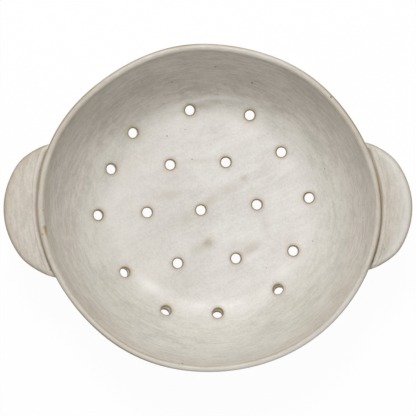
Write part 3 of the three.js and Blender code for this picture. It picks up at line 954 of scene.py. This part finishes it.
depths = {name: coil_face(1, lug, np.array([0.5]))[1].min() for name, lug in LUGS.items()}
print("grooves go down to", {name: round(depth, 2) for name, depth in depths.items()}, "mm")

# %% Coils
COIL_STATIONS = 121
WALL_DIVE = 1.2  # how far the two ends sink into the wall
LUG_DIVE = {1: 0.5, -1: 1.2}  # how far they sink into the lug, above it and below it
BACK_DEPTH = {1: 2.1, -1: 0.65}  # how deep the back lies in the lug
BACK_INSIDE, BACK_POINTS = 1.2, 3  # how deep it lies in the wall, and the points that close it
COIL_BARE, GROOVE_CLAY_AND_SHADE, COIL_COAT = 0.14, 0.4, 0.3  # clay that shows on it, clay and painted shade in its groove, and its glaze


def coil(lug, up):
    """The face carried along the wall, and closed behind it inside the clay. The sections shrink
    and sink towards the ends. Up is +1 above the lug and -1 below it. Clay and painted shade darken
    the groove."""
    edge, along = lug_outline(lug)
    margin = COIL_MARGIN / abs(edge[0])
    start, end = np.angle(edge[0]) + margin, np.angle(edge[-1]) - margin
    turn = np.linspace(start, end, COIL_STATIONS)
    world = turn + lug["turn"]
    share = (turn - np.angle(edge[0])) / np.angle(edge[-1] / edge[0])
    fade = smooth(0, COIL_FADE, np.minimum(turn - start, end - turn) * abs(edge[0]))
    size = COIL_END + (1 - COIL_END) * fade
    size = (size * (1 + 0.05 * np.sin(9 * turn + up) + 0.04 * np.sin(23 * turn)))[:, None]
    below = lug_thickness(share * along[-1], along[-1]) if up < 0 else 0
    level = LUG_TOP - lug_sag(lug, share) - below - up * LUG_DIVE[up] * (1 - fade)
    reach, face = coil_face(up, lug, share)
    height = level[:, None] + up * face * size
    rise = smooth(profile[1].min(), RIM_HEIGHT, height) ** 2
    radius = wall_radius(height + rise * rim_dip(world)[:, None], world[:, None])
    radius = radius + rise * rim_waver(world)[:, None] + reach * size - WALL_DIVE * (1 - fade)[:, None]
    buried = level - up * (0.5 + BACK_DEPTH[up] * fade)
    inside = wall_radius(level, world) - BACK_INSIDE - WALL_DIVE * (1 - fade)
    radius = np.column_stack([radius, radius[:, -1], inside, inside])
    height = np.column_stack([height, buried, buried, height[:, 0]])
    grid = np.stack([radius * np.cos(world)[:, None], radius * np.sin(world)[:, None], height], axis=-1)
    # Clay and painted shade darken the groove
    bare = COIL_BARE + GROOVE_CLAY_AND_SHADE * ridge(reach, GROOVE_AT - 0.1, 0.9) * (up > 0)
    measures = {"bare": bare, "coat": 0 * reach + COIL_COAT}
    measures = {key: np.pad(values, [(0, 0), (0, BACK_POINTS)])[::up] for key, values in measures.items()}
    return grid[::up], measures


upper_coils = {name: make_tube(f"{name}_upper_coil", *coil(lug, 1)) for name, lug in LUGS.items()}
lower_coils = {name: make_tube(f"{name}_lower_coil", *coil(lug, -1)) for name, lug in LUGS.items()}

# %% [markdown]
# ## The foot
#
# The foot is a coil turned into a ring and left bare, so that it does not stick to the kiln shelf.
# Three arches are cut from it to let water out. A ring with arches is often made with a boolean, but
# here the same is had by lifting points: wherever the ring's underside is lower than the arch at that
# bearing, it is raised to the arch.

# %% Foot profile
FOOT_RADIUS, FOOT_WIDTH = 61.0, 7.0
FOOT_FLARE = 1.6  # the ring spreads where it was pressed onto the floor
FOOT_PRESS = 0.5  # how far its top is pressed into the floor
FOOT_ROUND, FOOT_POWER = 3.0, 0.55  # height of the rounded underside, and how square it is
FOOT_STEPS, SIDE_STEPS = 40, 12


def foot_profile():
    """A loop of (radius, height): a rounded underside, two sides that flare at the top, and a top
    that is pressed into the floor."""
    turn = np.linspace(np.pi, TURN, FOOT_STEPS)
    radius = FOOT_RADIUS + FOOT_WIDTH / 2 * np.sign(np.cos(turn)) * np.abs(np.cos(turn)) ** FOOT_POWER
    height = FOOT_ROUND * (1 - np.abs(np.sin(turn)) ** FOOT_POWER)
    side = np.linspace(0, 1, SIDE_STEPS)[1:]
    flare = FOOT_FLARE * smooth(0.55, 1.0, side) ** 2
    climb = FOOT_ROUND + (FOOT_HEIGHT + FOOT_PRESS - FOOT_ROUND) * side
    outer = np.array([FOOT_RADIUS + FOOT_WIDTH / 2 + flare, climb])
    inner = np.array([FOOT_RADIUS - FOOT_WIDTH / 2 - flare, climb])[:, ::-1]
    return np.hstack([np.array([radius, height]), outer, inner])


print("points of the foot's profile:", foot_profile().shape[1])

# %% Foot ring
NOTCHES, NOTCH_RADIUS, NOTCH_HEIGHT, NOTCH_BEARING = 3, 6.0, 4.5, np.radians(90)
FOOT_BEARINGS = 540


def notch_arch(radius, turn):
    """Height of the arch over a point: a circle across the notch, or nothing outside it."""
    pitch = TURN / NOTCHES
    aside = np.mod(turn - NOTCH_BEARING + pitch / 2, pitch) - pitch / 2
    away = radius * np.sin(aside)
    return NOTCH_HEIGHT - NOTCH_RADIUS + np.sqrt(np.maximum(NOTCH_RADIUS ** 2 - away ** 2, 0))


def foot_grid():
    """The loop carried round a circle that wavers a little, and lifted to the arches."""
    radius, height = foot_profile()[:, None, :]
    turn = np.arange(FOOT_BEARINGS)[:, None] / FOOT_BEARINGS * TURN
    radius = radius + 0.25 * np.sin(2 * turn + 1) + 0.15 * np.sin(5 * turn)
    height = np.maximum(height, notch_arch(radius, turn))
    return np.stack([radius * np.cos(turn), radius * np.sin(turn), height], axis=-1)


foot_points = foot_grid()
foot_faces = grid_faces(*foot_points.shape[:2], ring=True)
foot = make_piece("foot", foot_points.reshape(-1, 3), [foot_faces])

# %% [markdown]
# ## The glaze
#
# The ware is stoneware under a satin white glaze: milky, slightly grey, with a soft sheen rather than
# a shine. It was brushed and wiped on, so long faint strokes go round the wall, follow the wiping
# slant on the floor, and let the clay's warmth through where the coat is thin. Along the back wall the
# thin coat follows the shade, so its pink there is partly painted shade. Every scale below is a size
# on the real bowl in millimetres. The grain is drawn coarser than real grog, about half a millimetre,
# because a finer one would vanish between the picture's pixels.

# %% Glaze sizes and colours
WIPE_SIZE = (34.0, 5.0, 5.0)  # length and breadth of a wiping mark on the floor
STROKE_LENGTH, STROKE_BREADTH = 10.0, 2.0  # of a brush mark round the wall
BROAD_SCALE = 0.3  # of the fine strokes' pattern, for the broad ones
MOTTLE_SIZE, GRAIN_SIZE, PIT_SIZE = 30.0, 1.8, 9.0
GLAZE_THIN, GLAZE_MEAN, GLAZE_THICK = "#CDC9C3", "#DBD7D2", "#E5E2DE"
WALL_TINT, THIN_TINT = "#F7F8F3", "#FCF7F6"  # what the wall and the thin coat take off the tone; the thin coat's pink is partly painted shade
# The pool, stain and clay colours also serve as painted highlight and painted shade
POOL_AND_HIGHLIGHT_TINT, STAIN_AND_SHADE_TINT, CLAY_AND_SHADE_TINT, PIT_TINT = "#F2F1EC", "#9F9371", "#8C7440", "#5D5346"
GLAZE_ROUGHNESS = 0.5
print("grain", GRAIN_SIZE, "mm, mottle", MOTTLE_SIZE, "mm")

# %% Glaze: strokes, mottle and grain
# Satin glaze gives the eye a milky grey white with a wide soft sheen, streaked where it was brushed
glaze, tree, output = new_material("Satin white glaze on stoneware")
coordinates = add_node(tree, "ShaderNodeTexCoord")
spot = add_node(tree, "ShaderNodeVectorMath", {"operation": "SCALE"},
                Vector=coordinates.outputs["Object"], Scale=1 / MM)
measure = {name: add_node(tree, "ShaderNodeAttribute", {"attribute_name": name}).outputs["Fac"]
           for name in ("bare", "coat", "climb", "wall", "stain", "pool")}

wipe_at = add_node(tree, "ShaderNodeMapping", {"vector_type": "TEXTURE"}, Vector=spot,
                   Rotation=(0, 0, WIPE_SLANT), Scale=WIPE_SIZE)
wipes = add_node(tree, "ShaderNodeTexNoise", Vector=wipe_at, Scale=1.0, Detail=4.0, Roughness=0.6,
                 Distortion=0.8)
round_at = add_node(tree, "ShaderNodeMapping", {"vector_type": "TEXTURE"}, Vector=spot,
                    Scale=(STROKE_LENGTH, STROKE_LENGTH, 1e6))
stroke_rows = add_node(tree, "ShaderNodeMath", {"operation": "DIVIDE"},
                       i0=measure["climb"], i1=STROKE_BREADTH)
up_at = add_node(tree, "ShaderNodeCombineXYZ", Z=stroke_rows)
stroke_at = add_node(tree, "ShaderNodeVectorMath", {"operation": "ADD"}, i0=round_at, i1=up_at)
strokes = add_node(tree, "ShaderNodeTexNoise", Vector=stroke_at, Scale=1.0, Detail=5.0, Roughness=0.68,
                   Distortion=1.0)
broad_at = add_node(tree, "ShaderNodeVectorMath", {"operation": "SCALE"}, Vector=stroke_at,
                    Scale=BROAD_SCALE)
broad = add_node(tree, "ShaderNodeTexNoise", Vector=broad_at, Scale=1.0, Detail=4.0, Roughness=0.55,
                 Distortion=1.6)
soft_wipes = add_node(tree, "ShaderNodeMapRange", {"clamp": False}, i0=wipes, i3=0.15, i4=0.85)
both = add_node(tree, "ShaderNodeMix", i0=0.45, i2=strokes, i3=broad)
sharp_strokes = add_node(tree, "ShaderNodeMapRange", {"clamp": False}, i0=both, i3=-0.75, i4=1.75)
marks = add_node(tree, "ShaderNodeMix", i0=measure["wall"], i2=soft_wipes, i3=sharp_strokes)
mottle = add_node(tree, "ShaderNodeTexNoise", Vector=spot, Scale=1 / MOTTLE_SIZE, Detail=5.0, Roughness=0.6)
grain = add_node(tree, "ShaderNodeTexNoise", Vector=spot, Scale=1 / GRAIN_SIZE, Detail=2.0)
print("patterns:", len(tree.nodes), "nodes")

# %% Glaze: tone
tone = 0.0
for pattern, weight in ((grain, 0.24), (mottle, 0.40), (marks, 0.36)):
    tone = add_node(tree, "ShaderNodeMath", MULTIPLY_ADD, i0=pattern, i1=weight, i2=tone)
lack = add_node(tree, "ShaderNodeMapRange", i0=measure["coat"], i3=0.35, i4=0.0)
relative = add_node(tree, "ShaderNodeMath", {"operation": "SUBTRACT"}, i0=strokes, i1=0.5)
tone = add_node(tree, "ShaderNodeMath", MULTIPLY_ADD, i0=relative, i1=lack, i2=tone)
even_tone = add_node(tree, "ShaderNodeMapRange", i0=tone, i1=0.38, i2=0.62)
shades = add_node(tree, "ShaderNodeValToRGB", i0=even_tone)
ramp = shades.color_ramp
ramp.elements[0].color, ramp.elements[1].color = linear(GLAZE_THIN), linear(GLAZE_THICK)
ramp.elements.new(0.5).color = linear(GLAZE_MEAN)

thin = add_node(tree, "ShaderNodeMath", {"operation": "SUBTRACT"}, i0=-0.9, i1=measure["coat"])
for pattern, weight in ((strokes, 1.8), (broad, 2.0)):
    thin = add_node(tree, "ShaderNodeMath", MULTIPLY_ADD, i0=pattern, i1=weight, i2=thin)
thin = add_node(tree, "ShaderNodeMapRange", i0=thin, i1=0.2, i2=0.8)
colour = shades
for share, tint in ((measure["wall"], WALL_TINT), (thin, THIN_TINT)):
    colour = add_node(tree, "ShaderNodeMix", TINTED_BY, i0=share, i6=colour, i7=linear(tint))
print("tones from", GLAZE_THIN, "to", GLAZE_THICK)

# %% Glaze: stains, bare clay, painted light and shade, and pits
# The stain, bare and pool layers also lay painted shade and painted highlights over the tone
stain_parts = add_node(tree, "ShaderNodeMapRange", i0=wipes, i1=0.35, i2=0.65, i3=0.5, i4=1.0)
stained = add_node(tree, "ShaderNodeMath", MULTIPLY, i0=measure["stain"], i1=stain_parts)
bare_parts = add_node(tree, "ShaderNodeMapRange", i0=mottle, i1=0.25, i2=0.6, i3=0.6, i4=1.0)
worn_and_shaded = add_node(tree, "ShaderNodeMath", MULTIPLY, i0=measure["bare"], i1=bare_parts)
cells = add_node(tree, "ShaderNodeTexVoronoi", Vector=spot, Scale=1 / PIT_SIZE)
lots = add_node(tree, "ShaderNodeSeparateColor", Color=cells.outputs["Color"])
rare = add_node(tree, "ShaderNodeMath", {"operation": "GREATER_THAN"}, i0=lots, i1=0.9)
near = add_node(tree, "ShaderNodeMapRange", i0=cells.outputs["Distance"], i1=0.065, i2=0.04, i3=0.0, i4=0.75)
pitted = add_node(tree, "ShaderNodeMath", MULTIPLY, i0=near, i1=rare)
layers = [(measure["pool"], POOL_AND_HIGHLIGHT_TINT), (stained, STAIN_AND_SHADE_TINT), (worn_and_shaded, CLAY_AND_SHADE_TINT), (pitted, PIT_TINT)]
for share, tint in layers:
    colour = add_node(tree, "ShaderNodeMix", OVER, i0=share, i6=colour, i7=linear(tint))
print("layers over the tone:", [tint for _, tint in layers])

# %% Glaze: specks
SPECKS = [  # x, y, height or None on the inner face, radius, colour: iron specks, and chips that show clay
    (32.9, 95.8, None, 0.95, "#4A4740"), (4.5, 107.0, None, 0.75, "#6B6659"),
    (-28.5, 96.5, None, 0.75, "#6B6659"), (-33.0, 56.3, None, 0.7, "#6E6552"),
    (-13.4, 38.2, None, 0.7, "#7A7160"), (-121.2, -14.2, 81.5, 1.9, "#A88A45"),
    (-120.9, -15.7, 81.3, 1.6, "#A88A45"), (-120.5, -17.4, 81.1, 1.8, "#A88A45"),
    (-120.3, -19.3, 81.1, 1.3, "#A88A45"), (-122.6, -19.4, 82.6, 1.2, "#A8893F"),
    (-122.4, -1.6, 82.0, 0.8, "#A8893F"), (89.6, 81.6, 82.6, 1.1, "#7A5A32"),
    (-19.9, -114.6, 81.2, 1.0, "#8A7448"), (129.4, -30.3, 76.7, 0.8, "#A88A4C"),
]
UPRIGHT_SQUEEZE = (1.0, 1.0, 0.6)  # draws a speck out on a steep wall, so that it stays round from above

squeezed = add_node(tree, "ShaderNodeVectorMath", {"operation": "MULTIPLY"}, i0=spot, i1=UPRIGHT_SQUEEZE)
for at_x, at_y, at_z, size, tint in SPECKS:
    if at_z is None:
        at_z = face_height(np.array(at_x), np.array(at_y), INNER)
    middle = np.array([at_x, at_y, at_z]) * UPRIGHT_SQUEEZE
    away = add_node(tree, "ShaderNodeVectorMath", {"operation": "DISTANCE"}, i0=squeezed, i1=middle)
    dot = add_node(tree, "ShaderNodeMapRange", i0=away, i1=size, i2=0.5 * size, i3=0.0, i4=0.8)
    colour = add_node(tree, "ShaderNodeMix", OVER, i0=dot, i6=colour, i7=linear(tint))
print("specks:", len(SPECKS))

# %% Glaze: surface
GLAZE_RELIEF = 0.12  # height of the bumps in millimetres

bumps = 0.0
for pattern, weight in ((grain, 0.5), (marks, 0.4)):
    bumps = add_node(tree, "ShaderNodeMath", MULTIPLY_ADD, i0=pattern, i1=weight, i2=bumps)
bump = add_node(tree, "ShaderNodeBump", Strength=0.5, Distance=GLAZE_RELIEF * MM, Height=bumps)
dull = add_node(tree, "ShaderNodeMapRange", i0=tone, i1=0.35, i2=0.65,
                i3=GLAZE_ROUGHNESS + 0.08, i4=GLAZE_ROUGHNESS - 0.06)
shader = add_node(tree, "ShaderNodeBsdfPrincipled", Base_Color=colour, Roughness=dull, Normal=bump, IOR=1.5)
tree.links.new(shader.outputs[0], output.inputs["Surface"])
print(glaze.name, "nodes:", len(tree.nodes))

# %% [markdown]
# ## The bare clay
#
# The foot shows what is under the glaze: buff stoneware, dry and a little gritty, fired to a warm tan
# with darker grains of grog and a toasted blush where the flame reached it.

# %% Bare clay
GROG_SIZE, BLUSH_SIZE = 1.3, 30.0
GROG_RELIEF = 0.15

# Unglazed clay gives the eye a dry, even tan with no sheen, dotted with darker grog
clay, tree, output = new_material("Bare buff stoneware")
spot = add_node(tree, "ShaderNodeTexCoord").outputs["Object"]
blush = add_node(tree, "ShaderNodeTexNoise", Vector=spot, Scale=1 / (BLUSH_SIZE * MM), Detail=3.0)
shades = add_node(tree, "ShaderNodeMix", OVER, i0=blush, i6=linear("#C8B492"), i7=linear("#A98A63"))
grog = add_node(tree, "ShaderNodeTexNoise", Vector=spot, Scale=1 / (GROG_SIZE * MM), Detail=3.0)
dots = add_node(tree, "ShaderNodeMapRange", i0=grog, i1=0.60, i2=0.70)
colour = add_node(tree, "ShaderNodeMix", OVER, i0=dots, i6=shades, i7=linear("#7E6547"))
bump = add_node(tree, "ShaderNodeBump", Strength=0.6, Distance=GROG_RELIEF * MM, Height=grog)
shader = add_node(tree, "ShaderNodeBsdfPrincipled", Base_Color=colour, Roughness=0.88, Normal=bump, IOR=1.45)
tree.links.new(shader.outputs[0], output.inputs["Surface"])
print(clay.name, "nodes:", len(tree.nodes))

# %% [markdown]
# ## Into the frame
#
# Each skin takes the place of the solid it was laid over, rides on the bowl's one body and takes the
# glaze or the bare clay.

# %% Replace the solids
GLAZED = {
    "bowl_shell": bowl,
    **{f"{name}_lug": piece for name, piece in lug_slabs.items()},
    **{f"{name}_lug_top_seam": piece for name, piece in upper_coils.items()},
    **{f"{name}_lug_under_seam": piece for name, piece in lower_coils.items()},
}
for node, piece in {**GLAZED, "foot_ring": foot}.items():
    piece.data.materials.append(glaze if node in GLAZED else clay)
    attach(piece, "root")
    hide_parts(node)
